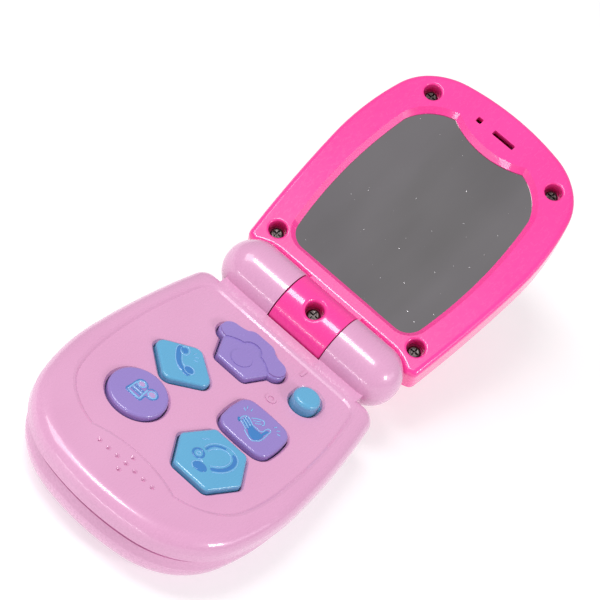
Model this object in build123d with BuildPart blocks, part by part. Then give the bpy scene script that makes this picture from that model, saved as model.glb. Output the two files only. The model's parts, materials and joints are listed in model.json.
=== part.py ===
# Toy flip phone with a mirror in its lid, an assembly of separate pieces.
# Units are millimetres. +X is the phone's right, +Y runs from the mouthpiece end to the
# hinge, +Z is up. The origin is the middle of the flat underside of the base.
# The lid is drawn open, at the stop of its hinge.
import math
import os

from build123d import *

os.makedirs("parts", exist_ok=True)

# ---- Driving dimensions -------------------------------------------------------------
HINGE_Y = 57.0            # hinge axis, behind the origin
HINGE_Z = 25.6            # hinge axis, above the table
LID_TILT = 27.66          # open lid, degrees above the plane of the base
BARREL_R = 10.64          # hinge barrel
BARREL_HALF = 36.0        # half the length of the barrel, rounded ends included
BARREL_END = 10.3         # length of each rounded end
BLOCK_HALF = 10.9         # half width of the lid's block in the middle of the barrel
KNUCKLE_IN = 11.25        # where the base's knuckles begin
PIN_R = 2.0
PIN_FIT = 0.05            # radial running clearance of the pins in the lid's block
PIN_IN = 4.4
PIN_OUT = 21.0

RIM_Z = 25.0              # top of the base
PART_Z = 14.3             # parting line between the two halves of the base
FLOOR_Z = 24.2            # floor of the keypad recess
RECESS_WALL = [(FLOOR_Z, -0.4), (FLOOR_Z + 0.5, 0.3), (RIM_Z, 1.1)]    # levels, each with its lean
CEILING_Z = 21.7          # underside of the keypad floor
WALL = 2.2                # side wall of the upper half of the base
LIP = 4.6                 # inset of the cavity where the two halves meet
BELLY_INSET = 1.5         # how far the lower half stands in from the upper half
BELLY_R = 12.0             # rounding of the lower half's bottom edge
FLOOR_T = 2.0

HOLE_GAP = 0.4            # gap round each button in its hole
RIM_BEVEL = 0.7           # bevel round each hole in the keypad
BUTTON_TOP = 25.7
HANDSET_UP = 0.45         # relief of the handset on its button
DIAL_UP = 0.25
FLANGE_TOP = 21.5
FLANGE_BOTTOM = 20.4
STEM_BOTTOM = 19.4
BOARD_TOP = 16.8
BOARD_T = 1.6

LID_FACE = -0.6           # lid's front face, measured from the hinge axis along its normal
FRAME_T = 2.2
LID_T = 12.3
LID_WALL = 1.8
MIRROR_T = 1.0

HEAD_R = 2.45             # pan head screws
HEAD_T = 1.6
HEAD_SEAT = 6.0           # depth of the heads in the base, from the table
LID_SEAT = 5.4            # depth of the heads' seats below the lid's face
LID_SHANK = 5.0
BLOCK_SEAT = 4.0          # seat of the block's screw, above the hinge axis
BLOCK_SHANK = 12.4
SHANK_R = 1.25
COUNTERBORE_R = 3.1
SEAT_ROUNDING = 0.8       # rims of the seats in the lid
BLOCK_SEAT_ROUNDING = 1.2

CELL_R = 5.25             # AAA cells
CELL_LENGTH = 44.5
CELL_Z = 7.3
CELL_PITCH = 11.0
BAY_HALF = 25.25          # half the inner length of the battery bay
COVER = (54.0, 32.0, 1.6)
COVER_Y = 3.0
COVER_UP = 1.6            # inner face of the cover
BAY_ROOF = 13.7
CONTACT_T = 0.4
WIRE_R = 0.3
SPRING_ROOM = 2 * (BAY_HALF - CONTACT_T) - CELL_LENGTH
COVER_SCREW_Y = 15.4

BASE_SCREWS = [(29.0, 24.0), (-29.0, 24.0), (27.0, 90.0), (-27.0, 90.0)]
BOARD_POSTS = [(-22.5, 20.0), (25.0, 41.0), (-25.5, 65.0), (26.0, 65.0)]
LID_SCREWS = [(30.4, 17.3), (-30.4, 17.3), (27.2, 93.78), (-27.2, 93.78)]
SPEAKER = (0.0, 97.6)
SPEAKER_R = 10.5
KNOB = (19.2, 30.2)
KNOB_R = 4.6
KNOB_TOP = 28.0
KNOB_TRAVEL = 3.0


FROM_BELOW = (Align.CENTER, Align.CENTER, Align.MIN)
FROM_ABOVE = (Align.CENTER, Align.CENTER, Align.MAX)


def ahead(x, distance):
    """A place x to the right and this far in front of the hinge axis."""
    return (x, HINGE_Y - distance)


LID = Plane(
    origin=(0, HINGE_Y, HINGE_Z),
    x_dir=(1, 0, 0),
    z_dir=(0, -math.sin(math.radians(LID_TILT)), math.cos(math.radians(LID_TILT))),
)
LID_BACK = LID_FACE - LID_T
LID_PART = LID_FACE - FRAME_T

# ---- Outlines -----------------------------------------------------------------------
def arc_chain(start, direction, *points):
    """Arcs from point to point, each one tangent to the one before it."""
    for point in points:
        arc = TangentArc(start, point, tangent=direction)
        start = arc @ 1
        direction = arc % 1


# Base, seen from above: straight behind, bulging sides, rounded mouthpiece end.
def base_plan(corner_radius):
    """Plan of the base with this radius at its two rear corners."""
    with BuildSketch() as plan:
        with BuildLine():
            Line(ahead(0, 10.8), ahead(37.3, 10.8))
            arc_chain(
                ahead(0, 114.6), (1, 0),
                ahead(16, 112.9), ahead(27.5, 108), ahead(34.8, 101), ahead(39.9, 90.5),
                ahead(43.1, 64), ahead(37.3, 10.8),
            )
            mirror(about=Plane.YZ)
        make_face()
        fillet(plan.vertices().group_by(Axis.Y)[-1], corner_radius)
    return plan.sketch


base_outline = base_plan(6.0)
belly_outline = base_plan(14.0)

# Tongue of the base that carries the barrel.
with BuildSketch() as tongue_outline:
    with Locations(ahead(0, 9.5)):
        Rectangle(59, 13)

# Recess of the keypad; its lower edge has a shallow arch under the mouthpiece dots.
with BuildSketch() as recess_outline:
    with BuildLine():
        Line(ahead(0, 16.8), ahead(31.2, 16.8))
        arc_chain(
            ahead(16.2, 95.9), (1, 0.22),
            ahead(27, 90.8), ahead(33.6, 80.5), ahead(35.6, 66), ahead(31.2, 16.8),
        )
        ThreePointArc(ahead(16.2, 95.9), ahead(8.4, 93.4), ahead(0, 92.6))
        mirror(about=Plane.YZ)
    make_face()
    fillet(recess_outline.vertices().group_by(Axis.Y)[-1], 6.0)

# Lid, in its own plane: x to the right, y away from the hinge.
with BuildSketch() as lid_outline:
    with BuildLine():
        Line((0, 11.4), (24.5, 11.4))
        ThreePointArc((24.5, 11.4), (29.6, 10.3), (33.2, 8.3))
        Line((33.2, 8.3), (36.8, 9.6))
        arc_chain(
            (0, 107.3), (1, 0),
            (20.3, 105.1), (32.2, 98.9), (38.3, 88.7), (41.4, 58), (36.8, 9.6),
        )
        mirror(about=Plane.YZ)
    make_face()
    fillet(lid_outline.vertices().filter_by(lambda v: abs(v.X) > 33 and v.Y < 9), 1.2)
    fillet(lid_outline.vertices().filter_by(lambda v: abs(v.X) > 36 and v.Y < 10), 2.6)

# Mirror opening, with a shallow arc hanging between two cusps at the top.
with BuildSketch() as mirror_outline:
    with BuildLine():
        Line((0, 18.6), (26.0, 18.6))
        ThreePointArc((26.0, 18.6), (29.7, 57), (27.8, 79.8))
        ThreePointArc((27.8, 79.8), (23.5, 87.0), (15.0, 92.0))
        ThreePointArc((15.0, 92.0), (7.6, 89.2), (0, 88.3))
        mirror(about=Plane.YZ)
    make_face()
    fillet(mirror_outline.vertices().group_by(Axis.Y)[0], 6.8)

# ---- Button outlines, each drawn where it stands ------------------------------------
with BuildSketch(Plane((*ahead(-4.3, 36.0), 0))) as phone_key_body:
    with BuildLine():
        Polyline(
            (-9.4, 8.0), (9.4, 8.0), (9.4, 3.2), (5.9, -4.9), (-5.9, -4.9), (-9.4, 3.2),
            close=True,
        )
    make_face()
    fillet(phone_key_body.vertices().group_by(Axis.Y)[0], 1.8)

with BuildSketch(Plane((*ahead(-4.3, 28.0), 0))) as phone_key_handset:
    with BuildLine():
        Line((0, 6.5), (2.6, 6.5))
        arc_chain((2.6, 6.5), (1, 0), (6.0, 4.6))
        arc_chain((6.0, 4.6), (1, -0.5), (9.6, 3.6), (13.2, 0.4), (10.8, -4.2))
        Line((10.8, -4.2), (8.9, -4.6))
        ThreePointArc((8.9, -4.6), (4.6, -1.7), (0, -0.9))
        mirror(about=Plane.YZ)
    make_face()

with BuildSketch(Plane((*ahead(-14.5, 53.6), 0))) as call_key_outline:
    with BuildLine():
        Polyline((0, 10.3), (12.2, 0.6), (0, -10.2), (-12.2, 0.6), close=True)
    make_face()
    fillet(call_key_outline.vertices(), 3.0)

with BuildSketch(Plane((*ahead(15.6, 53.7), 0))) as clap_key_outline:
    with BuildLine():
        arc_chain((0, 8.75), (1, 0), (5.6, 8.5), (9.7, 4.6), (10.02, 0))
        mirror(about=Plane.XZ)
        mirror(about=Plane.YZ)
    make_face()

with BuildSketch() as music_key_outline:
    with Locations(ahead(-15.3, 75.1)):
        Circle(9.7)

with BuildSketch(Plane((*ahead(14.8, 75.8), 0))) as headphone_key_outline:
    with BuildLine():
        Polyline(
            (6.4, 10.9), (12.2, 0), (6.4, -10.9), (-6.4, -10.9), (-12.2, 0), (-6.4, 10.9),
            close=True,
        )
    make_face()
    fillet(headphone_key_outline.vertices(), 2.0)

with BuildSketch() as phone_key_outline:
    add(phone_key_body.sketch)
    add(phone_key_handset.sketch)

with BuildSketch() as slot_outline:
    with Locations(ahead(KNOB[0], KNOB[1] - KNOB_TRAVEL / 2)):
        SlotOverall(KNOB_TRAVEL + 2 * KNOB_R, 2 * KNOB_R, rotation=90)

KEY_OUTLINES = [
    phone_key_outline, call_key_outline, clap_key_outline, music_key_outline, headphone_key_outline,
]


def finish_piece(piece, name):
    """Label a finished piece and write it to its own file."""
    piece.part.label = name
    export_step(piece.part, f"parts/{name}.step")


# ---- Upper half of the base: keypad shell with the outer knuckles --------------------
with BuildPart() as base_top_shell:
    with BuildSketch(Plane.XY.offset(PART_Z)):
        add(base_outline)
    extrude(amount=RIM_Z - PART_Z)
    fillet(base_top_shell.faces().sort_by(Axis.Z)[-1].edges(), 5.0)
    chamfer(base_top_shell.faces().sort_by(Axis.Z)[0].edges(), 3.0, 3.6)
    with BuildSketch(Plane.XY.offset(PART_Z)):
        add(tongue_outline.sketch)
    extrude(amount=RIM_Z - PART_Z)
    # barrel with rounded ends
    with BuildSketch(Plane((0, HINGE_Y, HINGE_Z))):
        with BuildLine():
            middle = Line((-BARREL_HALF, 0), (BARREL_HALF, 0))
            right_end = Spline(
                middle @ 1, (BARREL_HALF - 3.2, 7.7), (BARREL_HALF - BARREL_END, BARREL_R),
                tangents=((0, 1), (-1, 0)),
            )
            top = Line(right_end @ 1, (BARREL_END - BARREL_HALF, BARREL_R))
            Spline(
                top @ 1, (3.2 - BARREL_HALF, 7.7), middle @ 0,
                tangents=((-1, 0), (0, -1)),
            )
        make_face()
    revolve(axis=Axis((0, HINGE_Y, HINGE_Z), (1, 0, 0)))
    # cavity under the keypad, with a thicker lip at the parting line
    with BuildSketch(Plane.XY.offset(PART_Z + 4)):
        add(base_outline)
        offset(amount=-WALL)
        with Locations(ahead(0, 0)):
            Rectangle(120, 28, mode=Mode.SUBTRACT)
    extrude(amount=CEILING_Z - PART_Z - 4, mode=Mode.SUBTRACT)
    with BuildSketch(Plane.XY.offset(PART_Z)):
        add(base_outline)
        offset(amount=-LIP)
        with Locations(ahead(0, 0)):
            Rectangle(120, 28, mode=Mode.SUBTRACT)
    extrude(amount=4, mode=Mode.SUBTRACT)
    # knuckles are hollow, and open below so that they can be moulded
    for side in (-1, 1):
        with Locations((side * 20.75, HINGE_Y, HINGE_Z)):
            Cylinder(8.4, 13.5, rotation=(0, 90, 0), mode=Mode.SUBTRACT)
        with Locations((side * 20.75, HINGE_Y - 7.0, (PART_Z + HINGE_Z) / 2)):
            Box(13.5, 4.0, HINGE_Z - PART_Z, mode=Mode.SUBTRACT)
        with Locations((side * 17.5, HINGE_Y, HINGE_Z)):
            Cylinder(9.0, 2.0, rotation=(0, 90, 0))
    # gap for the lid's block, and the seats of the hinge pins
    with Locations((0, HINGE_Y, HINGE_Z)):
        Cylinder(BARREL_R + 0.45, 2 * KNUCKLE_IN, rotation=(0, 90, 0), mode=Mode.SUBTRACT)
        Cylinder(PIN_R, 2 * PIN_OUT, rotation=(0, 90, 0), mode=Mode.SUBTRACT)
    # keypad recess, its wall leaning out
    for lower, upper in zip(RECESS_WALL, RECESS_WALL[1:]):
        for level, lean in (lower, upper):
            with BuildSketch(Plane.XY.offset(level)):
                add(recess_outline.sketch)
                offset(amount=lean, kind=Kind.INTERSECTION)
        loft(ruled=True, mode=Mode.SUBTRACT)
    # button holes and the slot of the switch, each with a bevelled rim
    for outline in KEY_OUTLINES + [slot_outline]:
        with BuildSketch(Plane.XY.offset(CEILING_Z)):
            add(outline.sketch)
            offset(amount=HOLE_GAP)
        extrude(amount=4, mode=Mode.SUBTRACT)
        with BuildSketch(Plane.XY.offset(FLOOR_Z - RIM_BEVEL)):
            add(outline.sketch)
            offset(amount=HOLE_GAP)
        with BuildSketch(Plane.XY.offset(FLOOR_Z)):
            add(outline.sketch)
            offset(amount=HOLE_GAP + RIM_BEVEL)
        loft(ruled=True, mode=Mode.SUBTRACT)
    # mouthpiece dots
    with Locations(Plane.XY.offset(RIM_Z)):
        with Locations([ahead(3.48 * step, 99.4) for step in range(-3, 4)]):
            CounterSinkHole(0.45, 0.9, depth=0.8)
        with Locations(ahead(0, 95.9), ahead(0, 102.9)):
            CounterSinkHole(0.45, 0.9, depth=0.8)
    # marks beside the switch: a bar for on, a ring for off
    with BuildSketch(Plane.XY.offset(FLOOR_Z)):
        with Locations(ahead(11.6, 19.9)):
            Rectangle(0.9, 3.4)
        with Locations(ahead(11.4, 38.4)):
            Circle(1.8)
            Circle(1.0, mode=Mode.SUBTRACT)
    extrude(amount=0.3)
    # screw bosses, board posts and the ring that holds the speaker
    with BuildSketch(Plane.XY.offset(PART_Z)):
        with Locations([ahead(*place) for place in BASE_SCREWS]):
            Circle(3.0)
    extrude(amount=CEILING_Z - PART_Z)
    with BuildSketch(Plane.XY.offset(BOARD_TOP)):
        with Locations([ahead(*place) for place in BOARD_POSTS]):
            Circle(2.2)
    extrude(amount=CEILING_Z - BOARD_TOP)
    with BuildSketch(Plane.XY.offset(BOARD_TOP)):
        with Locations(ahead(*SPEAKER)):
            Circle(SPEAKER_R + 1.4)
            Circle(SPEAKER_R + 0.2, mode=Mode.SUBTRACT)
    extrude(amount=CEILING_Z - BOARD_TOP)
    with BuildSketch(Plane.XY.offset(20.4)):
        with Locations(ahead(*SPEAKER)):
            Circle(SPEAKER_R + 0.3)
            Circle(SPEAKER_R - 1.6, mode=Mode.SUBTRACT)
    extrude(amount=CEILING_Z - 20.4)
    with Locations(Plane.XY.offset(PART_Z)):
        with Locations([ahead(*place) for place in BASE_SCREWS]):
            Cylinder(SHANK_R, 6.0, align=FROM_BELOW, mode=Mode.SUBTRACT)
    with Locations(Plane.XY.offset(BOARD_TOP)):
        with Locations([ahead(*place) for place in BOARD_POSTS]):
            Cylinder(1.0, 3.6, align=FROM_BELOW, mode=Mode.SUBTRACT)
finish_piece(base_top_shell, "base_top_shell")

# ---- Lower half of the base: belly, battery bay and screw bosses ----------------------
with BuildPart() as base_bottom_shell:
    with BuildSketch():
        add(belly_outline)
        offset(amount=-BELLY_INSET)
    extrude(amount=PART_Z)
    fillet(base_bottom_shell.faces().sort_by(Axis.Z)[0].edges(), BELLY_R)
    chamfer(base_bottom_shell.faces().sort_by(Axis.Z)[-1].edges(), 3.4, 0.6)
    # cavity
    with BuildSketch(Plane.XY.offset(FLOOR_T)):
        add(belly_outline)
        offset(amount=-LIP - 5)
    with BuildSketch(Plane.XY.offset(FLOOR_T + 5)):
        add(belly_outline)
        offset(amount=-LIP)
    loft(ruled=True, mode=Mode.SUBTRACT)
    with BuildSketch(Plane.XY.offset(FLOOR_T + 5)):
        add(belly_outline)
        offset(amount=-LIP)
    extrude(amount=PART_Z, mode=Mode.SUBTRACT)
    # battery bay: walls, opening for the cover, room for the cells
    with BuildSketch():
        with Locations((0, COVER_Y)):
            Rectangle(COVER[0] + 3.0, COVER[1] + 2.6)
    extrude(amount=BAY_ROOF)
    with BuildSketch():
        with Locations((0, COVER_Y)):
            RectangleRounded(COVER[0] + 0.5, COVER[1] + 0.5, 3.2)
    extrude(amount=COVER_UP, mode=Mode.SUBTRACT)
    with BuildSketch(Plane.XY.offset(COVER_UP)):
        Rectangle(2 * BAY_HALF, 2 * CELL_PITCH + 0.4)
    extrude(amount=BAY_ROOF - 1.0 - COVER_UP, mode=Mode.SUBTRACT)
    # screw bosses, each with a deep seat for the head
    with BuildSketch(Plane.XY.offset(FLOOR_T)):
        with Locations([ahead(*place) for place in BASE_SCREWS]):
            Circle(4.2)
    extrude(amount=PART_Z - FLOOR_T)
    with Locations([(*ahead(*place), 0) for place in BASE_SCREWS]):
        Cylinder(COUNTERBORE_R, HEAD_SEAT, align=FROM_BELOW, mode=Mode.SUBTRACT)
        Cylinder(SHANK_R + 0.15, PART_Z, align=FROM_BELOW, mode=Mode.SUBTRACT)
    with Locations((0, COVER_SCREW_Y, 0)):
        Cylinder(1.0, 9.0, align=FROM_BELOW, mode=Mode.SUBTRACT)
finish_piece(base_bottom_shell, "base_bottom_shell")

with BuildPart() as battery_cover:
    with BuildSketch(Plane.XY.offset(COVER_UP - COVER[2])):
        with Locations((0, COVER_Y)):
            RectangleRounded(COVER[0], COVER[1], 3.0)
    extrude(amount=COVER[2])
    # countersink, and ridges for the thumb
    with Locations(Plane((0, COVER_SCREW_Y, COVER_UP - COVER[2]), z_dir=(0, 0, -1))):
        CounterSinkHole(1.15, 2.45, depth=COVER[2])
    for step in range(5):
        with BuildSketch(Plane.XY.offset(COVER_UP - COVER[2])):
            with Locations((0, -10.5 + 1.6 * step)):
                SlotOverall(16 - 2.4 * step, 0.7)
        extrude(amount=0.4, mode=Mode.SUBTRACT)
finish_piece(battery_cover, "battery_cover")

with BuildPart() as battery_cover_screw:
    with BuildSketch(Plane((0, COVER_SCREW_Y, 0), x_dir=(1, 0, 0), z_dir=(0, -1, 0))):
        with BuildLine():
            Polyline(
                (0, 0.3), (2.1, 0.3), (1.0, 1.4), (1.0, 8.6), (0, 8.6), close=True,
            )
        make_face()
    revolve(axis=Axis((0, COVER_SCREW_Y, 0), (0, 0, 1)))
    with Locations((0, COVER_SCREW_Y, 0.25)):
        Box(2.6, 0.5, 1.2, mode=Mode.SUBTRACT)
        Box(0.5, 2.6, 1.2, mode=Mode.SUBTRACT)
finish_piece(battery_cover_screw, "battery_cover_screw")

# ---- Batteries and their contacts -----------------------------------------------------
# Each cell's pole touches a plate, and a coil spring presses on its other end.
with BuildPart() as batteries:
    for side in (-1, 1):
        end = side * (BAY_HALF - CONTACT_T)
        with Locations(Plane((end, side * CELL_PITCH / 2, CELL_Z), z_dir=(-side, 0, 0))):
            Cylinder(1.9, 1.0, align=FROM_BELOW)
            with Locations((0, 0, 1.0)):
                Cylinder(CELL_R, CELL_LENGTH - 1.0, align=FROM_BELOW)
finish_piece(batteries, "batteries")

with BuildPart() as battery_contacts:
    with Locations((BAY_HALF - CONTACT_T / 2, 0, CELL_Z)):
        Box(CONTACT_T, 19.0, 8.0)
    with Locations(
        (CONTACT_T / 2 - BAY_HALF, CELL_PITCH / 2, CELL_Z),
        (CONTACT_T / 2 - BAY_HALF, -CELL_PITCH / 2, CELL_Z),
    ):
        Box(CONTACT_T, 8.0, 8.0)
finish_piece(battery_contacts, "battery_contacts")

with BuildPart() as battery_springs:
    for side in (-1, 1):
        foot = Plane(
            (-side * (BAY_HALF - CONTACT_T - WIRE_R), side * CELL_PITCH / 2, CELL_Z),
            z_dir=(side, 0, 0),
        )
        with BuildLine(mode=Mode.PRIVATE) as coil:
            Helix(
                pitch=1.2, height=SPRING_ROOM - 2 * WIRE_R, radius=2.7,
                center=foot.origin, direction=foot.z_dir,
            )
        with BuildSketch(Plane(coil.line @ 0, z_dir=coil.line % 0)):
            Circle(WIRE_R - 0.02)
        sweep(path=coil.line, is_frenet=True)
finish_piece(battery_springs, "battery_springs")


# ---- Screws ---------------------------------------------------------------------------
def pan_head_screws(seats, shank):
    """Cross-head screws; each seat is the plane under a head, its z pointing out of the head."""
    with BuildPart() as one_screw:
        with BuildSketch(Plane.XZ):
            with BuildLine():
                Polyline((0, HEAD_T), (0, -shank), (SHANK_R, -shank), (SHANK_R, 0), (HEAD_R, 0),
                         (HEAD_R, 0.7))
                TangentArc((HEAD_R, 0.7), (1.2, HEAD_T), tangent=(-0.1, 1))
                Line((1.2, HEAD_T), (0, HEAD_T))
            make_face()
        revolve(axis=Axis.Z)
        for width, depth in ((3.0, 0.6), (0.6, 3.0)):
            with Locations((0, 0, HEAD_T)):
                Box(width, depth, 1.8, mode=Mode.SUBTRACT)
    with BuildPart() as screws:
        for seat in seats:
            add(seat.location * one_screw.part)
    return screws


base_screws = pan_head_screws(
    [Plane((*ahead(*place), HEAD_SEAT), z_dir=(0, 0, -1)) for place in BASE_SCREWS],
    20.0 - HEAD_SEAT,
)
finish_piece(base_screws, "base_screws")

with BuildPart() as board_screws:
    with Locations([(*ahead(*place), BOARD_TOP - BOARD_T) for place in BOARD_POSTS]):
        Cylinder(1.9, 1.1, align=FROM_ABOVE)
        Cylinder(1.0, BOARD_T + 3.0, align=FROM_BELOW)
finish_piece(board_screws, "board_screws")

# ---- Electronics ----------------------------------------------------------------------
with BuildPart() as circuit_board:
    with BuildSketch(Plane.XY.offset(BOARD_TOP - BOARD_T)):
        with Locations(ahead(0, 49)):
            RectangleRounded(57, 64, 3)
        with Locations([ahead(*place) for place in BASE_SCREWS]):
            Circle(4.6, mode=Mode.SUBTRACT)
        with Locations([ahead(*place) for place in BOARD_POSTS]):
            Circle(1.0, mode=Mode.SUBTRACT)
    extrude(amount=BOARD_T)
finish_piece(circuit_board, "circuit_board")

with BuildPart() as sound_chip:
    with Locations((*ahead(2.0, 64.0), BOARD_TOP)):
        Cylinder(4.0, 1.0, align=FROM_BELOW)
    fillet(sound_chip.faces().sort_by(Axis.Z)[-1].edges(), 0.8)
finish_piece(sound_chip, "sound_chip")

with BuildPart() as speaker:
    with Locations((*ahead(*SPEAKER), 20.4)):
        Cylinder(SPEAKER_R, 1.6, align=FROM_ABOVE)
        with Locations((0, 0, -1.6)):
            Cylinder(SPEAKER_R - 1.5, 1.8, align=FROM_ABOVE)
        with Locations((0, 0, -3.4)):
            Cylinder(6.0, 1.6, align=FROM_ABOVE)
        with Locations((0, 0, 0)):
            Cone(SPEAKER_R - 2.2, 4.5, 1.4, align=FROM_ABOVE,
                 rotation=(180, 0, 0), mode=Mode.SUBTRACT)
finish_piece(speaker, "speaker")

with BuildPart() as switch_body:
    with Locations((*ahead(KNOB[0], KNOB[1] - KNOB_TRAVEL / 2), BOARD_TOP)):
        Box(5.0, 10.0, 3.0, align=FROM_BELOW)
    with BuildSketch(Plane.XY.offset(BOARD_TOP + 1.0)):
        with Locations(ahead(KNOB[0], KNOB[1] - KNOB_TRAVEL / 2)):
            Rectangle(2.2, 2.6 + KNOB_TRAVEL)
    extrude(amount=2.0, mode=Mode.SUBTRACT)
finish_piece(switch_body, "switch_body")

# ---- Buttons, each over its own rubber dome --------------------------------------------
def dome_at(place):
    """Rubber dome that pushes a button back up."""
    with BuildPart() as dome:
        with BuildSketch(Plane.XY.offset(BOARD_TOP)):
            with Locations(ahead(*place)):
                RectangleRounded(9.0, 9.0, 1.5)
        extrude(amount=0.8)
        with Locations((*ahead(*place), BOARD_TOP + 0.8)):
            Cone(3.6, 2.6, STEM_BOTTOM - BOARD_TOP - 0.8, align=FROM_BELOW)
        with Locations((*ahead(*place), BOARD_TOP)):
            Cone(2.8, 1.6, 1.6, align=FROM_BELOW, mode=Mode.SUBTRACT)
    return dome


def key_at(outline, place):
    """Button: cap with a rounded edge, retaining flange under the keypad, and stem."""
    with BuildPart() as key:
        with BuildSketch(Plane.XY.offset(FLANGE_TOP)):
            add(outline.sketch)
        extrude(amount=BUTTON_TOP - FLANGE_TOP)
        fillet(key.faces().sort_by(Axis.Z)[-1].edges(), 1.0)
        with BuildSketch(Plane.XY.offset(FLANGE_BOTTOM)):
            add(outline.sketch)
            offset(amount=1.1)
        extrude(amount=FLANGE_TOP - FLANGE_BOTTOM)
        with Locations((*ahead(*place), STEM_BOTTOM)):
            Cylinder(2.4, FLANGE_BOTTOM - STEM_BOTTOM, align=FROM_BELOW)
    return key


KEYS = {
    "call": (call_key_outline, (-14.5, 53.6)),
    "clap": (clap_key_outline, (15.6, 53.7)),
    "music": (music_key_outline, (-15.3, 75.1)),
    "headphone": (headphone_key_outline, (14.8, 75.8)),
}
for word, (outline, place) in KEYS.items():
    finish_piece(key_at(outline, place), f"{word}_button")
    finish_piece(dome_at(place), f"{word}_dome")

# The telephone button has its handset and its dial standing up from its body.
PHONE_KEY = (-4.3, 33.0)
with BuildPart() as phone_button:
    add(key_at(phone_key_outline, PHONE_KEY).part)
    with BuildSketch(Plane.XY.offset(BUTTON_TOP - 1.0)):
        add(phone_key_handset.sketch)
        offset(amount=-0.5)
        with Locations(ahead(-4.3, 29.8)):
            Circle(3.7, mode=Mode.SUBTRACT)
    extrude(amount=1.0 + HANDSET_UP)
    with BuildSketch(Plane.XY.offset(BUTTON_TOP)):
        with Locations(ahead(-4.3, 35.0)):
            Ellipse(3.5, 3.7)
    extrude(amount=DIAL_UP)
finish_piece(phone_button, "phone_button")
finish_piece(dome_at(PHONE_KEY), "phone_dome")

with BuildPart() as switch_knob:
    with Locations((*ahead(*KNOB), FLANGE_TOP)):
        Cylinder(KNOB_R, KNOB_TOP - FLANGE_TOP, align=FROM_BELOW)
    fillet(switch_knob.faces().sort_by(Axis.Z)[-1].edges(), 1.5)
    with BuildSketch(Plane.XY.offset(FLANGE_BOTTOM)):
        with Locations(ahead(*KNOB)):
            Rectangle(13.0, 16.0)
    extrude(amount=FLANGE_TOP - FLANGE_BOTTOM)
    with Locations((*ahead(*KNOB), BOARD_TOP + 1.2)):
        Box(1.8, 2.0, FLANGE_BOTTOM - BOARD_TOP - 1.2, align=FROM_BELOW)
finish_piece(switch_knob, "switch_knob")

# ---- Hinge pins: pressed into the knuckles, running in the lid's block ------------------
for name, side in (("hinge_pin_left", -1), ("hinge_pin_right", 1)):
    with BuildPart() as hinge_pin:
        middle = side * (PIN_IN + PIN_OUT) / 2
        with Locations((middle, HINGE_Y, HINGE_Z)):
            Cylinder(PIN_R, PIN_OUT - PIN_IN, rotation=(0, 90, 0))
        chamfer(hinge_pin.edges().filter_by(GeomType.CIRCLE), 0.3)
    finish_piece(hinge_pin, name)

# ---- Lid --------------------------------------------------------------------------------
BLOCK_AXIS = Axis((0, HINGE_Y, HINGE_Z), (1, 0, 0))


def block_half(lowest, highest):
    """Part of the lid's block between two heights along the lid's normal."""
    with BuildPart() as half:
        with Locations((0, HINGE_Y, HINGE_Z)):
            Cylinder(BARREL_R, 2 * BLOCK_HALF, rotation=(0, 90, 0))
        fillet(half.edges().filter_by(GeomType.CIRCLE), 0.4)
        with BuildSketch(LID.offset(lowest)):
            Rectangle(40, 40)
        extrude(amount=highest - lowest, mode=Mode.INTERSECT)
    return half.part


def cut_pin_bores():
    """Running holes for the two hinge pins."""
    for side in (-1, 1):
        depth = BLOCK_HALF - PIN_IN + 0.4
        with Locations((side * (BLOCK_HALF - depth / 2), HINGE_Y, HINGE_Z)):
            Cylinder(PIN_R + PIN_FIT, depth, rotation=(0, 90, 0), mode=Mode.SUBTRACT)


upper_block = block_half(LID_PART, BARREL_R + 1)
lower_block = block_half(-BARREL_R - 1, LID_PART)

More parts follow.
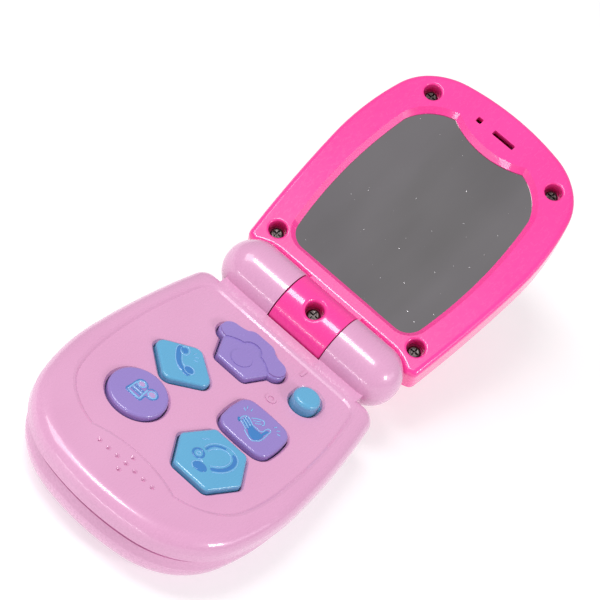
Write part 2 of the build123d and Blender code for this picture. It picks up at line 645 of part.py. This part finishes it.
with BuildPart() as lid_front_frame:
    with BuildSketch(LID.offset(LID_PART)):
        add(lid_outline.sketch)
    extrude(amount=FRAME_T)
    fillet(lid_front_frame.faces().sort_by(Axis(LID.origin, LID.z_dir))[-1].edges(), 2.0)
    # block, and the web that joins it to the frame
    add(upper_block)
    with BuildSketch(LID.offset(LID_PART)):
        with Locations((0, 6.5)):
            Rectangle(2 * BLOCK_HALF, 13)
    extrude(amount=FRAME_T)
    cut_pin_bores()
    # screw bosses
    with BuildSketch(LID.offset(LID_FACE - LID_SEAT - 1.6)):
        with Locations(LID_SCREWS):
            Circle(3.9)
    extrude(amount=LID_SEAT + 1.6 - 1.0)
    # mirror opening with a bevelled lip
    with BuildSketch(LID.offset(LID_PART)):
        add(mirror_outline.sketch)
    extrude(amount=FRAME_T, mode=Mode.SUBTRACT)
    with BuildSketch(LID.offset(LID_PART + 0.3)):
        add(mirror_outline.sketch)
    with BuildSketch(LID.offset(LID_FACE)):
        add(mirror_outline.sketch)
        offset(amount=1.8, kind=Kind.INTERSECTION)
    loft(ruled=True, mode=Mode.SUBTRACT)
    # screw seats
    with Locations(LID.offset(LID_FACE - LID_SEAT)):
        with Locations(LID_SCREWS):
            Cylinder(COUNTERBORE_R, LID_SEAT + 1, align=FROM_BELOW, mode=Mode.SUBTRACT)
            Cylinder(SHANK_R + 0.15, 8, mode=Mode.SUBTRACT)
    with Locations(LID.offset(BLOCK_SEAT)):
        Cylinder(COUNTERBORE_R, 12, align=FROM_BELOW, mode=Mode.SUBTRACT)
        Cylinder(SHANK_R + 0.15, 20, mode=Mode.SUBTRACT)
    seat_rims = lid_front_frame.edges().filter_by(GeomType.CIRCLE).filter_by(
        lambda e: abs(e.radius - COUNTERBORE_R) < 0.01
        and abs(LID.to_local_coords(e.center()).Z - LID_FACE) < 0.01
    )
    fillet(seat_rims, SEAT_ROUNDING)
    block_rim = lid_front_frame.edges().filter_by(
        lambda e: LID.to_local_coords(e.center()).Z > BARREL_R - 0.8
        and abs(e.center().X) < COUNTERBORE_R + 0.1
    )
    fillet(block_rim, BLOCK_SEAT_ROUNDING)
    # earpiece: a slot and a small square hole
    with BuildSketch(LID.offset(LID_PART)):
        with Locations((2.3, 96.7)):
            RectangleRounded(9.0, 2.0, 0.4)
        with Locations((-8.5, 96.7)):
            RectangleRounded(2.2, 2.2, 0.3)
    extrude(amount=FRAME_T, mode=Mode.SUBTRACT)
finish_piece(lid_front_frame, "lid_front_frame")

with BuildPart() as lid_back_shell:
    with BuildSketch(LID.offset(LID_BACK)):
        add(lid_outline.sketch)
    extrude(amount=LID_T - FRAME_T)
    fillet(lid_back_shell.faces().sort_by(Axis(LID.origin, LID.z_dir))[0].edges(), 1.6)
    with BuildSketch(LID.offset(LID_BACK + LID_WALL)):
        add(lid_outline.sketch)
        offset(amount=-LID_WALL)
    extrude(amount=LID_T, mode=Mode.SUBTRACT)
    add(lower_block)
    with BuildSketch(LID.offset(-BARREL_R)):
        with Locations((0, 6.5)):
            Rectangle(2 * BLOCK_HALF, 13)
    extrude(amount=LID_PART + BARREL_R)
    cut_pin_bores()
    with BuildSketch(LID.offset(LID_BACK + LID_WALL)):
        with Locations(LID_SCREWS):
            Circle(3.2)
    extrude(amount=LID_FACE - LID_SEAT - 1.6 - LID_BACK - LID_WALL)
    with BuildSketch(LID.offset(LID_BACK + LID_WALL)):
        with Locations((-20, 34), (20, 34), (-20, 72), (20, 72)):
            Circle(1.6)
    extrude(amount=LID_PART - MIRROR_T - LID_BACK - LID_WALL)
    with Locations(LID.offset(LID_FACE - LID_SEAT)):
        with Locations(LID_SCREWS):
            Cylinder(SHANK_R, 2 * LID_SHANK, mode=Mode.SUBTRACT)
    with Locations(LID.offset(BLOCK_SEAT)):
        Cylinder(SHANK_R, 2 * BLOCK_SHANK, mode=Mode.SUBTRACT)
finish_piece(lid_back_shell, "lid_back_shell")

with BuildPart() as mirror_plate:
    with BuildSketch(LID.offset(LID_PART - MIRROR_T)):
        add(mirror_outline.sketch)
        offset(amount=1.0)
    extrude(amount=MIRROR_T)
finish_piece(mirror_plate, "mirror")

lid_screws = pan_head_screws(
    [Plane(LID.from_local_coords((x, y, LID_FACE - LID_SEAT)), x_dir=(1, 0, 0), z_dir=LID.z_dir)
     for x, y in LID_SCREWS],
    LID_SHANK,
)
finish_piece(lid_screws, "lid_screws")
block_screw = pan_head_screws(
    [Plane(LID.from_local_coords((0, 0, BLOCK_SEAT)), x_dir=(1, 0, 0), z_dir=LID.z_dir)],
    BLOCK_SHANK,
)
finish_piece(block_screw, "hinge_block_screw")
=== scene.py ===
# Looks of the toy flip phone: materials, the marks on the buttons, lights and camera.
# Metres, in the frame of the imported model.
import json
import math

import bmesh
import bpy
from mathutils import Matrix, Vector


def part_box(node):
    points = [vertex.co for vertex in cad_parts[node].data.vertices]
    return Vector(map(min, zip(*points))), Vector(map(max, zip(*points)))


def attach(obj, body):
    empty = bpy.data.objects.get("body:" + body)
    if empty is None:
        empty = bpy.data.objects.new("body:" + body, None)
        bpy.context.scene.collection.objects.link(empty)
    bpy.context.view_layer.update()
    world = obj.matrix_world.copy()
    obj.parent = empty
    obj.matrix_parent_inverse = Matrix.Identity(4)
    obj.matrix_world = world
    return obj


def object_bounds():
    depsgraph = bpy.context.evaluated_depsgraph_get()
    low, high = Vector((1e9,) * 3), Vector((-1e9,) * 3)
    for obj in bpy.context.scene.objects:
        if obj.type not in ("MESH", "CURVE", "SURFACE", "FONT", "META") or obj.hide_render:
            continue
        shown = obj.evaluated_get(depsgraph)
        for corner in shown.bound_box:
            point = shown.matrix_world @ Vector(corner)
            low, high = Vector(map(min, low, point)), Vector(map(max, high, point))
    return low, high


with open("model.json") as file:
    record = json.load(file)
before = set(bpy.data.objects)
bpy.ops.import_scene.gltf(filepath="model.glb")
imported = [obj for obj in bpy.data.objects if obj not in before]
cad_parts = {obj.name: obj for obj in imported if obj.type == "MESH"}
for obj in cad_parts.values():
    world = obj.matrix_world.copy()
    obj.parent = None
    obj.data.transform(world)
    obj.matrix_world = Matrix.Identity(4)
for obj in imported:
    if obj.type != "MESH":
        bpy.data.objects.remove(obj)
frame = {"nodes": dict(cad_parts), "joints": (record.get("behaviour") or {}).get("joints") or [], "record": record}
CAD_BOX = [list(corner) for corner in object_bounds()]
HINGE = Vector(next(j["pos_m"] for j in frame["joints"] if j["name"] == "lid_hinge"))
MM = 0.001


# ---- Materials ------------------------------------------------------------------------
# Colour sockets of a Mix node.
MIX_FIRST, MIX_SECOND, MIX_RESULT = 6, 7, 2


def srgb(red, green, blue):
    """Linear colour from 0-255 display values."""
    def linear(value):
        value /= 255
        return value / 12.92 if value <= 0.04045 else ((value + 0.055) / 1.055) ** 2.4
    return (linear(red), linear(green), linear(blue), 1.0)


class Nodes:
    """Short spelling for building one material's node tree."""

    def __init__(self, name):
        self.material = bpy.data.materials.new(name)
        self.material.use_nodes = True
        self.tree = self.material.node_tree
        self.shader = self.tree.nodes["Principled BSDF"]
        self.place = self.add("ShaderNodeTexCoord").outputs["Object"]

    def add(self, kind, **inputs):
        node = self.tree.nodes.new(kind)
        for key, value in inputs.items():
            node.inputs[key].default_value = value
        return node

    def link(self, source, target):
        self.tree.links.new(source, target)

    def noise(self, scale, detail=3.0, roughness=0.5, stretch=(1, 1, 1)):
        mapping = self.add("ShaderNodeMapping", Scale=stretch)
        self.link(self.place, mapping.inputs["Vector"])
        texture = self.add("ShaderNodeTexNoise", Scale=scale, Detail=detail, Roughness=roughness)
        self.link(mapping.outputs["Vector"], texture.inputs["Vector"])
        return texture.outputs["Fac"]

    def spread(self, source, low, high, start=0.3, stop=0.7):
        """Maps start..stop of source to low..high."""
        node = self.add("ShaderNodeMapRange", **{
            "From Min": start, "From Max": stop, "To Min": low, "To Max": high,
        })
        self.link(source, node.inputs["Value"])
        return node.outputs["Result"]

    def mix(self, factor, first, second):
        node = self.add("ShaderNodeMix")
        node.data_type = "RGBA"
        self.link(factor, node.inputs["Factor"])
        for socket, value in ((MIX_FIRST, first), (MIX_SECOND, second)):
            if isinstance(value, tuple):
                node.inputs[socket].default_value = value
            else:
                self.link(value, node.inputs[socket])
        return node.outputs[MIX_RESULT]

    def bump(self, height, strength, distance, below=None):
        node = self.add("ShaderNodeBump", Strength=strength, Distance=distance)
        self.link(height, node.inputs["Height"])
        if below is not None:
            self.link(below, node.inputs["Normal"])
        return node.outputs["Normal"]

    def color(self, source):
        self.link(source, self.shader.inputs["Base Color"])

    def roughness(self, source):
        self.link(source, self.shader.inputs["Roughness"])

    def normal(self, source):
        self.link(source, self.shader.inputs["Normal"])


def gloss_plastic(name, color, shade, roughness):
    """Glossy moulded plastic: faint flow marks, orange peel and a few soft scuffs."""
    n = Nodes(name)
    flow = n.spread(n.noise(38, detail=4, roughness=0.55, stretch=(1, 0.45, 1)), 0.0, 1.0)
    n.color(n.mix(flow, color, shade))
    scuffs = n.noise(900, detail=4, roughness=0.6, stretch=(1, 0.3, 1))
    n.roughness(n.spread(scuffs, roughness - 0.04, roughness + 0.07, start=0.35, stop=0.8))
    peel = n.bump(n.noise(260, detail=2, roughness=0.4), 0.01, 0.1 * MM)
    n.normal(n.bump(scuffs, 0.006, 0.03 * MM, peel))
    n.shader.inputs["Coat Weight"].default_value = 0.55
    n.shader.inputs["Coat Roughness"].default_value = 0.05
    n.shader.inputs["IOR"].default_value = 1.5
    return n.material


def metal(name, color, shade, roughness, stretch=(1, 1, 1)):
    """Plated or brushed metal with fine marks."""
    n = Nodes(name)
    grain = n.noise(1500, detail=4, roughness=0.6, stretch=stretch)
    n.color(n.mix(n.spread(grain, 0.0, 1.0), color, shade))
    n.roughness(n.spread(grain, roughness - 0.07, roughness + 0.12))
    n.normal(n.bump(grain, 0.15, 0.05 * MM))
    n.shader.inputs["Metallic"].default_value = 1.0
    return n.material


def plain_matte(name, color, shade, roughness):
    """Matte resin, rubber, board or label with a fine uneven surface."""
    n = Nodes(name)
    grain = n.noise(300, detail=4, roughness=0.6)
    n.color(n.mix(n.spread(grain, 0.0, 1.0), color, shade))
    n.roughness(n.spread(grain, roughness - 0.08, roughness + 0.1))
    n.normal(n.bump(grain, 0.1, 0.1 * MM))
    return n.material


def mirror_sheet(name):
    """Plastic mirror: slightly wavy and hazy, with a few specks."""
    n = Nodes(name)
    n.shader.inputs["Metallic"].default_value = 1.0
    wave = n.noise(22, detail=2, roughness=0.4)
    sheet = n.mix(n.spread(wave, 0.0, 1.0), srgb(190, 185, 189), srgb(176, 171, 176))
    haze = n.spread(n.noise(16, stretch=(2.2, 0.5, 0.5)), 0.0, 0.35, start=0.5, stop=0.72)
    sheet = n.mix(haze, sheet, srgb(150, 148, 146))
    specks = n.spread(n.noise(700, roughness=0.6), 0.0, 1.0, start=0.72, stop=0.76)
    n.color(n.mix(specks, sheet, srgb(240, 236, 240)))
    n.roughness(n.spread(specks, 0.03, 0.5, start=0.0, stop=1.0))
    n.normal(n.bump(wave, 0.08, 0.6 * MM))
    return n.material


BASE_PINK = gloss_plastic("base_pink", srgb(225, 165, 202), srgb(221, 159, 197), 0.28)
LID_PINK = gloss_plastic("lid_pink", srgb(255, 64, 162), srgb(252, 58, 156), 0.26)
KEY_PURPLE = gloss_plastic("key_purple", srgb(153, 132, 203), srgb(148, 126, 199), 0.26)
KEY_BLUE = gloss_plastic("key_blue", srgb(100, 174, 214), srgb(93, 168, 210), 0.26)
MARK_BLUE = gloss_plastic("mark_blue", srgb(62, 132, 200), srgb(56, 124, 194), 0.3)
MARK_LIGHT = gloss_plastic("mark_light", srgb(136, 190, 236), srgb(128, 184, 232), 0.3)
MARK_LILAC = gloss_plastic("mark_lilac", srgb(190, 160, 212), srgb(184, 153, 207), 0.3)
MIRROR = mirror_sheet("mirror")
SCREW = metal("screw_steel", srgb(98, 90, 90), srgb(58, 52, 52), 0.38)
PIN = metal("pin_steel", srgb(205, 205, 208), srgb(180, 180, 184), 0.2, (0.1, 1, 1))
CONTACT = metal("contact_metal", srgb(214, 212, 205), srgb(190, 187, 180), 0.3)
CELL = plain_matte("cell", srgb(44, 98, 66), srgb(36, 84, 56), 0.35)
BOARD = plain_matte("board", srgb(30, 104, 58), srgb(22, 88, 48), 0.4)
BLACK = plain_matte("black", srgb(28, 28, 29), srgb(18, 18, 19), 0.5)
SPEAKER = plain_matte("speaker", srgb(74, 74, 76), srgb(52, 52, 54), 0.5)
RUBBER = plain_matte("dome_rubber", srgb(196, 196, 192), srgb(184, 184, 180), 0.55)

SLOT_MATERIALS = {
    "base_pink": BASE_PINK, "lid_pink": LID_PINK, "key_purple": KEY_PURPLE, "key_blue": KEY_BLUE,
    "mirror": MIRROR, "screw_steel": SCREW, "pin_steel": PIN, "contact_metal": CONTACT,
    "cell": CELL, "board": BOARD, "black": BLACK, "speaker": SPEAKER, "dome_rubber": RUBBER,
}

for part in frame["record"]["subparts"]:
    piece = frame["nodes"][part["node"]]
    for material_slot in piece.material_slots:
        material_slot.material = SLOT_MATERIALS[part["material_slot"]]


# ---- Marks moulded on four of the buttons ---------------------------------------------
# Drawn in millimetres from the middle of each button's top, and raised a little from it.

# Rises above the button.
HIGH, LOW = 0.16, 0.12
# Widths of the lines: rays, thin outlines, outlines of fingers, heavier outlines.
RAY_W, THIN_W, FINGER_W, RIM_W = 0.34, 0.36, 0.4, 0.42
# Part of its width that a stroke keeps at its tip.
TIP = 0.35
# Points on each span of a curve, and round an ellipse.
CURVE_STEPS, RING_STEPS = 7, 10
# Sections: place across the width, or in from the outline, with the part of the rise.
STROKE_SECTION = ((-0.5, -0.3), (-0.38, 0.7), (0, 1.0), (0.38, 0.7), (0.5, -0.3))
PATCH_SECTION = ((0.0, -0.3), (0.06, 0.6), (0.16, 0.9), (0.32, 1.0))


def smooth(points, closed):
    """Points along a Catmull-Rom curve through the given ones."""
    count = len(points)
    spans = count if closed else count - 1
    line = []
    for index in range(spans):
        if closed:
            near = [Vector(points[(index + k) % count]) for k in (-1, 0, 1, 2)]
        else:
            near = [Vector(points[min(max(index + k, 0), count - 1)]) for k in (-1, 0, 1, 2)]
        for step in range(CURVE_STEPS):
            t = step / CURVE_STEPS
            line.append(0.5 * (
                2 * near[1] + (near[2] - near[0]) * t
                + (2 * near[0] - 5 * near[1] + 4 * near[2] - near[3]) * t ** 2
                + (3 * near[1] - near[0] - 3 * near[2] + near[3]) * t ** 3
            ))
    if not closed:
        line.append(Vector(points[-1]))
    return line


def side_of(line, index, closed):
    """Unit vector across the line at one of its points."""
    count = len(line)
    if closed:
        along = line[(index + 1) % count] - line[index - 1]
    else:
        along = line[min(index + 1, count - 1)] - line[max(index - 1, 0)]
    return Vector((-along.y, along.x)).normalized()


def stroke(mesh, points, width, rise=HIGH, closed=False):
    """Raised line with a rounded section and rounded ends."""
    line = smooth(points, closed)
    travelled = [0.0]
    for first, second in zip(line, line[1:]):
        travelled.append(travelled[-1] + (second - first).length)
    rings = []
    for index, point in enumerate(line):
        from_end = min(travelled[index], travelled[-1] - travelled[index]) / (width / 2)
        narrow = 1.0
        if not closed and from_end < 1:
            narrow = max(TIP, math.sqrt(1 - (1 - from_end) ** 2))
        across = side_of(line, index, closed) * width * narrow
        rings.append([
            mesh.verts.new((*(point + across * offset), lift * rise))
            for offset, lift in STROKE_SECTION
        ])
    pairs = list(zip(rings, rings[1:])) + ([(rings[-1], rings[0])] if closed else [])
    for first, second in pairs:
        for k in range(len(STROKE_SECTION) - 1):
            mesh.faces.new((first[k], second[k], second[k + 1], first[k + 1]))


def patch(mesh, points, rise):
    """Raised area with a rounded edge; its outline runs anticlockwise."""
    line = smooth(points, True)
    rings = []
    for inset, lift in PATCH_SECTION:
        rings.append([
            mesh.verts.new((*(point + side_of(line, index, True) * inset), lift * rise))
            for index, point in enumerate(line)
        ])
    count = len(line)
    for first, second in zip(rings, rings[1:]):
        for k in range(count):
            mesh.faces.new((first[k], first[(k + 1) % count], second[(k + 1) % count], second[k]))
    mesh.faces.new(rings[-1])


def ring_points(x, y, across, along, tilt=0.0):
    """Points round an ellipse, anticlockwise."""
    turn = math.radians(tilt)
    places = []
    for step in range(RING_STEPS):
        angle = 2 * math.pi * step / RING_STEPS
        u, v = across * math.cos(angle), along * math.sin(angle)
        places.append((x + u * math.cos(turn) - v * math.sin(turn),
                       y + u * math.sin(turn) + v * math.cos(turn)))
    return places


def add_mark(name, button, body, material, strokes=(), patches=()):
    """One colour of a button's mark, from the arguments of its strokes and patches."""
    low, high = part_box(button)
    mesh = bmesh.new()
    for given in strokes:
        stroke(mesh, *given)
    for points, rise in patches:
        patch(mesh, points, rise)
    bmesh.ops.recalc_face_normals(mesh, faces=mesh.faces[:])
    data = bpy.data.meshes.new(name)
    mesh.to_mesh(data)
    mesh.free()
    data.polygons.foreach_set("use_smooth", [True] * len(data.polygons))
    data.materials.append(material)
    middle = Vector(((low[0] + high[0]) / 2, (low[1] + high[1]) / 2, high[2]))
    data.transform(Matrix.Translation(middle) @ Matrix.Scale(MM, 4))
    piece = bpy.data.objects.new(name, data)
    bpy.context.scene.collection.objects.link(piece)
    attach(piece, body)


# telephone receiver with three short rays
add_mark(
    "call_mark", "call_button", "call_key", MARK_BLUE,
    strokes=[
        ([(-4.3, 4.9), (-4.2, 3.3), (-2.9, 1.2), (-1.2, -0.8), (0.6, -2.0), (2.0, -2.2)], 1.7),
        ([(2.0, -2.4), (3.2, -3.0), (4.5, -2.6)], 1.3),
    ],
    patches=[
        (ring_points(-2.6, 4.3, 1.0, 1.25, 25), LOW),
        (ring_points(3.1, -1.4, 1.7, 1.8), LOW),
    ],
)
add_mark(
    "call_mark_edge", "call_button", "call_key", MARK_LIGHT,
    strokes=[
        (ring_points(-2.6, 4.3, 1.5, 1.85, 25), RIM_W, HIGH, True),
        (ring_points(3.2, -0.9, 1.8, 1.5), RIM_W, HIGH, True),
        ([(-5.2, 5.0), (-5.2, 3.1), (-3.8, 0.7), (-1.9, -1.5), (0.4, -3.0), (1.9, -3.2)], THIN_W),
        ([(-2.0, 2.2), (-0.9, 0.5), (0.5, -0.6), (1.4, -0.9)], THIN_W),
        ([(0.0, 5.4), (0.4, 6.8)], RAY_W),
        ([(0.9, 4.8), (2.0, 5.9)], RAY_W),
        ([(1.4, 3.8), (2.9, 4.2)], RAY_W),
    ],
)

# clapping hands
add_mark(
    "clap_mark", "clap_button", "clap_key", MARK_BLUE,
    strokes=[
        ([(-4.0, 0.7), (-2.4, 0.1), (-0.6, -0.8)], 0.55, LOW),
        ([(-4.3, -0.3), (-2.6, -1.0), (-0.8, -1.9)], 0.55, LOW),
        ([(-4.3, -1.4), (-2.8, -2.0), (-1.0, -2.9)], 0.55, LOW),
        ([(3.3, -1.6), (3.4, 0.4), (3.7, 2.2)], 0.95, LOW),
    ],
    patches=[
        ([(-0.9, -0.6), (-1.2, -2.4), (0.6, -4.4), (2.4, -4.8), (3.8, -3.4), (3.9, -0.9),
          (2.4, -0.6), (0.6, -0.7)], HIGH),
        ([(-5.9, -1.6), (-5.2, -2.7), (-4.4, -2.9), (-4.9, -1.2)], LOW),
    ],
)
add_mark(
    "clap_mark_edge", "clap_button", "clap_key", MARK_LIGHT,
    strokes=[
        ([(-4.2, 1.3), (-2.6, 0.8), (-0.9, -0.2), (0.7, -0.1), (1.9, -0.2), (2.7, 0.6), (2.8, 2.2),
          (3.3, 3.1), (4.2, 2.9), (4.3, 1.2), (4.4, -2.6), (3.4, -4.5), (2.3, -5.4), (0.4, -4.9),
          (-1.6, -3.9)], RIM_W),
        ([(-4.5, 0.2), (-2.6, -0.45), (-0.8, -1.3)], FINGER_W),
        ([(-4.6, -0.85), (-2.8, -1.5), (-1.0, -2.4)], FINGER_W),
        ([(-4.6, -2.0), (-3.0, -2.6), (-1.3, -3.4)], FINGER_W),
        ([(-4.3, 1.2), (-5.1, -0.4), (-4.8, -2.2)], RIM_W),
        ([(-3.0, 1.6), (-1.9, 2.9), (-0.6, 3.9), (0.2, 4.3), (0.9, 3.9), (1.3, 3.0), (1.0, 2.1)],
         FINGER_W),
        ([(-2.0, 1.3), (-1.0, 2.3), (-0.1, 3.2)], THIN_W),
        ([(-1.0, 1.0), (0.0, 1.9), (0.6, 2.7)], THIN_W),
        ([(-6.6, 4.7), (-5.9, 3.4)], RAY_W),
        ([(-4.9, 5.0), (-4.6, 3.7)], RAY_W),
        ([(-7.0, 3.1), (-5.8, 2.4)], RAY_W),
        ([(3.9, 5.1), (4.4, 6.2)], RAY_W),
        ([(5.2, 4.7), (6.0, 5.7)], RAY_W),
        ([(6.0, 3.9), (7.2, 4.2)], RAY_W),
    ],
)

# pair of notes under one beam
NOTES = [(-3.1, -2.7), (-3.1, 0.4), (-3.0, 3.3), (-2.2, 4.4), (-0.9, 4.6), (0.4, 4.0), (1.0, 2.9),
         (2.1, 4.1), (3.6, 4.4), (5.0, 3.4), (5.2, 1.8), (4.2, 0.4), (2.6, 0.1), (2.4, -1.2),
         (2.3, -2.7), (-0.4, -2.8)]
add_mark(
    "music_mark", "music_button", "music_key", MARK_BLUE,
    strokes=[
        (NOTES, 0.45, LOW, True),
        ([(-2.4, 0.9), (1.3, 0.9)], 0.6, HIGH + 0.05),
        ([(-2.4, -0.9), (1.3, -0.9)], 0.6, HIGH + 0.05),
    ],
)
add_mark(
    "music_mark_face", "music_button", "music_key", MARK_LIGHT,
    strokes=[
        ([(-2.75, -2.3), (-2.75, 2.6)], 0.6),
        ([(-2.6, -2.3), (2.0, -2.3)], 0.6),
        ([(1.9, -2.2), (1.6, 0.2), (1.4, 2.6)], 0.7),
        ([(-2.5, 0.0), (1.3, 0.0)], 0.6),
        (ring_points(-1.2, 2.9, 1.3, 1.2), 0.55, HIGH, True),
        (ring_points(3.5, 2.3, 1.35, 1.3), 0.55, HIGH, True),
    ],
)
add_mark(
    "music_mark_heads", "music_button", "music_key", MARK_LILAC,
    patches=[
        (ring_points(-1.2, 2.9, 1.1, 1.0), LOW),
        (ring_points(3.5, 2.3, 1.15, 1.1), LOW),
    ],
)

# headphones
add_mark(
    "headphone_mark", "headphone_button", "headphone_key", MARK_BLUE,
    strokes=[
        ([(-3.3, 1.2), (-2.9, 3.6), (-1.4, 5.7), (0.8, 6.9)], 0.8),
        ([(3.4, 6.9), (5.1, 5.6), (5.8, 3.2), (5.4, 0.6), (4.2, -1.6), (2.2, -3.6)], 1.35),
        (ring_points(-3.8, -1.9, 1.7, 1.8), 0.8, HIGH, True),
    ],
    patches=[(ring_points(-0.3, -5.6, 2.3, 1.8, 10), HIGH)],
)
add_mark(
    "headphone_mark_edge", "headphone_button", "headphone_key", MARK_LIGHT,
    strokes=[
        ([(-4.1, 1.3), (-3.7, 4.0), (-2.0, 6.4), (0.6, 7.8), (3.4, 7.8), (5.7, 6.4), (6.8, 3.6),
          (6.4, 0.4), (5.0, -2.2), (3.2, -4.2)], THIN_W),
        ([(-2.4, 1.0), (-1.9, 3.2), (-0.5, 5.2), (1.6, 6.2), (3.4, 5.6), (4.5, 3.6), (4.3, 1.2),
          (3.0, -1.2), (1.4, -2.8)], THIN_W),
        (ring_points(-3.7, -1.9, 0.65, 0.7), FINGER_W, HIGH, True),
        ([(-2.6, -3.9), (-2.2, -3.2), (-1.0, -3.4), (-2.6, -5.0), (-2.8, -6.6), (-1.4, -7.7)],
         THIN_W),
        ([(-6.6, 3.4), (-5.6, 4.2)], THIN_W),
        ([(-6.0, 4.6), (-4.9, 5.2)], THIN_W),
    ],
)


# ---- Studio ---------------------------------------------------------------------------
# Camera: direction and roll in degrees, distance from the hinge, sideways and upward shift.
AZIMUTH, ELEVATION, ROLL = 14.57, 40.0, 31.5
DISTANCE, SHIFT_RIGHT, SHIFT_UP = 0.6517, -0.0038, 0.0071
LENS, SENSOR_WIDTH = 120.4, 36.0

# Soft boxes: name, place, aim, size, watts, colour.
WHITE = (1.0, 1.0, 1.0)
SOFT_BOXES = [
    ("key", (-0.55, -0.25, 0.9), (0, 0.02, 0.02), (0.5, 0.5), 3.9, WHITE),
    ("overhead", (-0.15, -0.16, 0.8), (0, -0.05, 0.02), (0.2, 0.22), 2.1, WHITE),
    ("side", (0.75, 0.0, 0.42), (0, 0.02, 0.02), (0.16, 0.16), 1.8, WHITE),
    ("far side", (0.75, 0.3, 0.34), (0, 0.1, 0.04), (0.4, 0.16), 0.4, (1.0, 0.86, 1.0)),
    ("front", (-0.1, -0.9, 0.06), (0, 0, 0.03), (0.9, 0.03), 1.2, WHITE),
]
ROOM_STRENGTH = 0.4
FLOOR_GLOW = 0.51
FLOOR_HALF = 3.0


def camera_axes():
    """Right, up and back of the camera, with the roll taken about its view."""
    azimuth, elevation, roll = (math.radians(value) for value in (AZIMUTH, ELEVATION, ROLL))
    back = Vector((
        math.sin(azimuth) * math.cos(elevation),
        -math.cos(azimuth) * math.cos(elevation),
        math.sin(elevation),
    ))
    level = Vector((math.cos(azimuth), math.sin(azimuth), 0))
    upright = back.cross(level)
    right = math.cos(roll) * level + math.sin(roll) * upright
    up = -math.sin(roll) * level + math.cos(roll) * upright
    return right, up, back


def add_camera():
    """Camera above the mouthpiece end, with the phone running corner to corner."""
    right, up, back = camera_axes()
    data = bpy.data.cameras.new("camera")
    data.lens = LENS
    data.sensor_width = SENSOR_WIDTH
    data.clip_start = 0.01
    camera = bpy.data.objects.new("camera", data)
    place = HINGE + DISTANCE * back + SHIFT_RIGHT * right + SHIFT_UP * up
    turned = Matrix((right, up, back)).transposed().to_4x4()
    camera.matrix_world = Matrix.Translation(place) @ turned
    bpy.context.scene.collection.objects.link(camera)
    bpy.context.scene.camera = camera


def add_soft_box(name, place, aim, size, power, color):
    """Rectangular area lamp at place, facing aim."""
    data = bpy.data.lights.new(name, "AREA")
    data.shape = "RECTANGLE"
    data.size, data.size_y = size
    data.energy = power
    data.color = color
    lamp = bpy.data.objects.new(name, data)
    direction = Vector(aim) - Vector(place)
    lamp.location = place
    lamp.rotation_euler = direction.to_track_quat("-Z", "Y").to_euler()
    bpy.context.scene.collection.objects.link(lamp)


def add_floor():
    """White sweep that the phone lies on."""
    mesh = bpy.data.meshes.new("floor")
    corners = [(x * FLOOR_HALF, y * FLOOR_HALF, 0) for x, y in ((-1, -1), (1, -1), (1, 1), (-1, 1))]
    mesh.from_pydata(corners, [], [(0, 1, 2, 3)])
    floor = bpy.data.objects.new("floor", mesh)
    bpy.context.scene.collection.objects.link(floor)
    n = Nodes("floor")
    n.color(n.mix(n.spread(n.noise(60), 0.0, 1.0), (0.6, 0.6, 0.6, 1), (0.58, 0.58, 0.58, 1)))
    n.shader.inputs["Roughness"].default_value = 0.9
    n.shader.inputs["Emission Color"].default_value = (1, 1, 1, 1)
    n.shader.inputs["Emission Strength"].default_value = FLOOR_GLOW
    mesh.materials.append(n.material)
    floor.location.z = CAD_BOX[0][2]


def light_the_room():
    """Even grey room with soft boxes."""
    world = bpy.data.worlds.new("room")
    world.use_nodes = True
    background = world.node_tree.nodes["Background"]
    background.inputs["Color"].default_value = (1, 1, 1, 1)
    background.inputs["Strength"].default_value = ROOM_STRENGTH
    bpy.context.scene.world = world
    for soft_box in SOFT_BOXES:
        add_soft_box(*soft_box)


bpy.context.scene.view_settings.view_transform = "Standard"
add_camera()
add_floor()
light_the_room()
